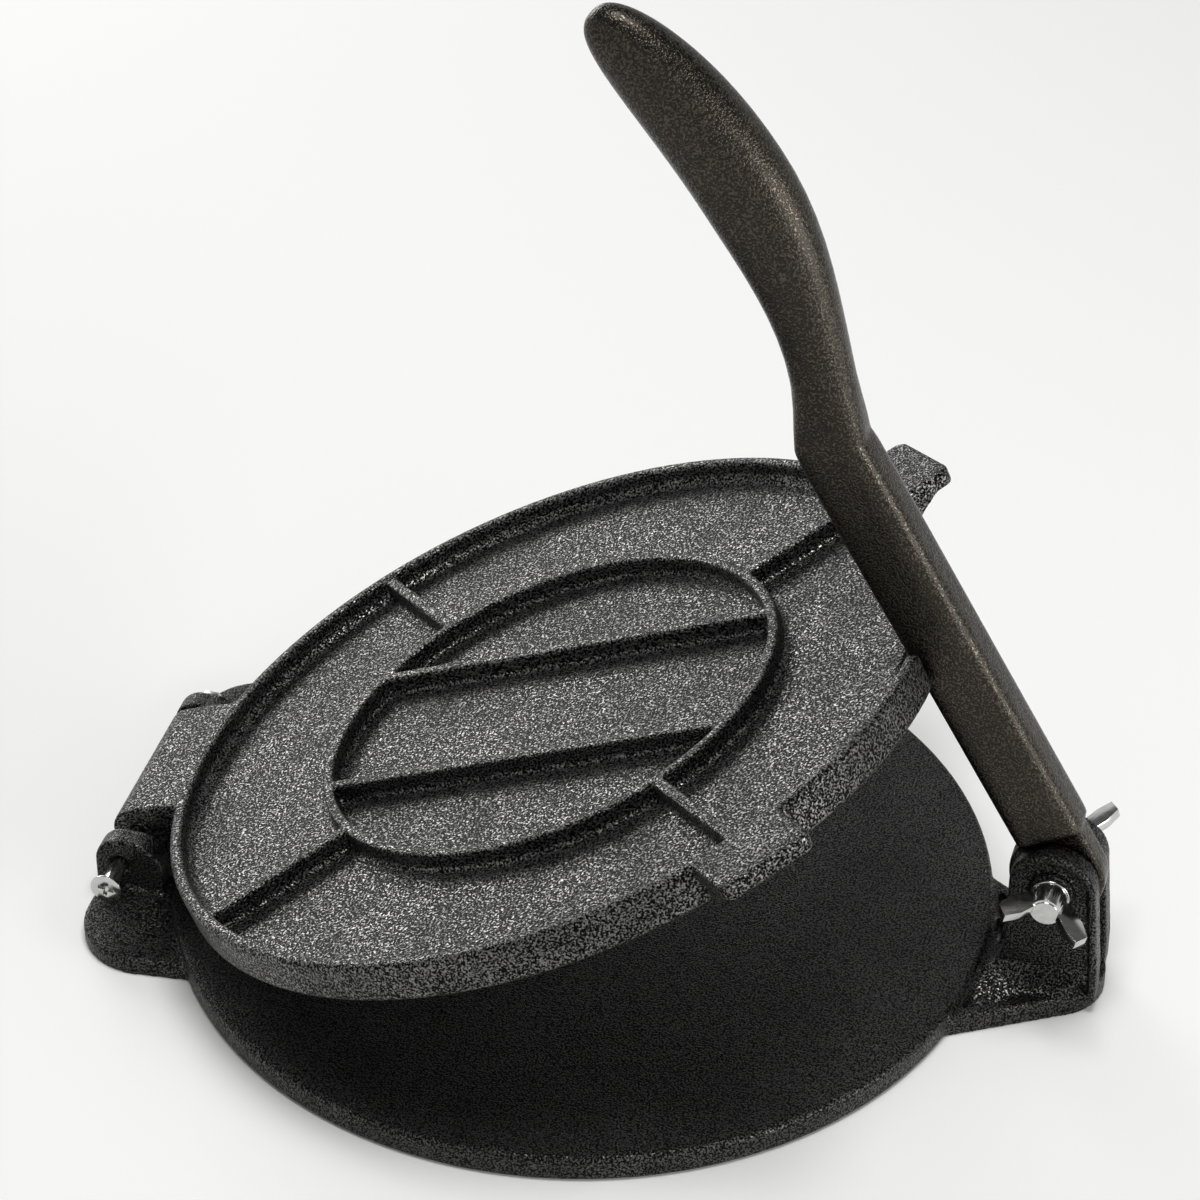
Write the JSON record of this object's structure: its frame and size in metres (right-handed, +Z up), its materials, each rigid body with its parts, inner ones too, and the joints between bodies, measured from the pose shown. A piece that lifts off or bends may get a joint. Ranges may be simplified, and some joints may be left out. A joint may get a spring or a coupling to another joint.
{
  "type": "tortilla press",
  "caption": "Cast-iron tortilla press: round base, hinged ribbed pressing plate with lift tabs, and a long pivoting lever held by a wing screw and wing nut.",
  "frame": {"origin": "centre of the round base, on the plane it rests on", "axes": "+X from the hinge towards the lever's pivot, +Y to the back, +Z up; the press is drawn open"},
  "size_m": [0.3709, 0.305, 0.3788],
  "materials": {
    "base_iron": "seasoned, sand-cast grain",
    "plate_iron": "seasoned, sand-cast grain",
    "lever_iron": "seasoned, rubbed smooth",
    "zinc_fastener": "bright zinc plate"
  },
  "bodies": {
    "base": {"base_casting": "base_iron", "hinge_screw": "zinc_fastener", "hinge_washer": "zinc_fastener", "hinge_nut": "zinc_fastener", "lever_bolt": "zinc_fastener", "front_washer": "zinc_fastener", "rear_washer": "zinc_fastener"},
    "plate": {"pressing_plate": "plate_iron"},
    "lever": {"press_lever": "lever_iron"},
    "wing": {"wing_nut": "zinc_fastener"}
  },
  "joints": [
    {"name": "plate_hinge", "type": "hinge", "parent": "base", "child": "plate", "pos_m": [-0.1639, 0, 0.0178], "axis": [0, -1, 0], "range_deg": [-22.8, 75]},
    {"name": "lever_pivot", "type": "hinge", "parent": "base", "child": "lever", "pos_m": [0.177, 0, 0.053], "axis": [0, 1, 0], "range_deg": [-2, 109]},
    {"name": "wing_nut_spin", "type": "hinge", "parent": "base", "child": "wing", "pos_m": [0.177, 0, 0.053], "axis": [0, -1, 0], "continuous": true}
  ]
}
